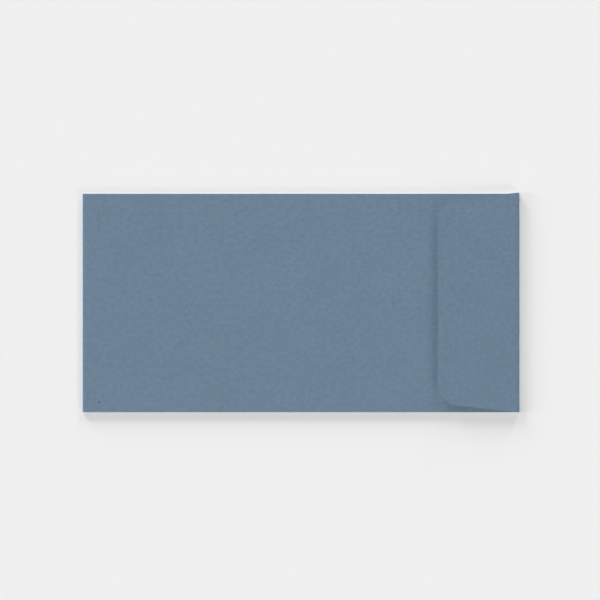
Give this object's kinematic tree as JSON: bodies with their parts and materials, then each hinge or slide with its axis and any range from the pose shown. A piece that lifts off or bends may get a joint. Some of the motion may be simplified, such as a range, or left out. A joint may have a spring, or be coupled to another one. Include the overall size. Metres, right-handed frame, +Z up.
{
  "type": "paper envelope",
  "caption": "Slate-blue paper pocket envelope, lying flat, with glued side tabs and a tapered, round-shouldered flap folded over the mouth at its narrow end.",
  "frame": {"origin": "middle of the footprint, on the surface that the envelope lies on", "axes": "+X along the pocket, from its bottom fold towards the flap fold; +Y across the pocket; +Z up, out of the side that the flap is folded onto"},
  "size_m": [0.22, 0.1107, 0.0023],
  "materials": {
    "paper": "matte"
  },
  "bodies": {
    "root": {"envelope": "paper"}
  },
  "joints": []
}
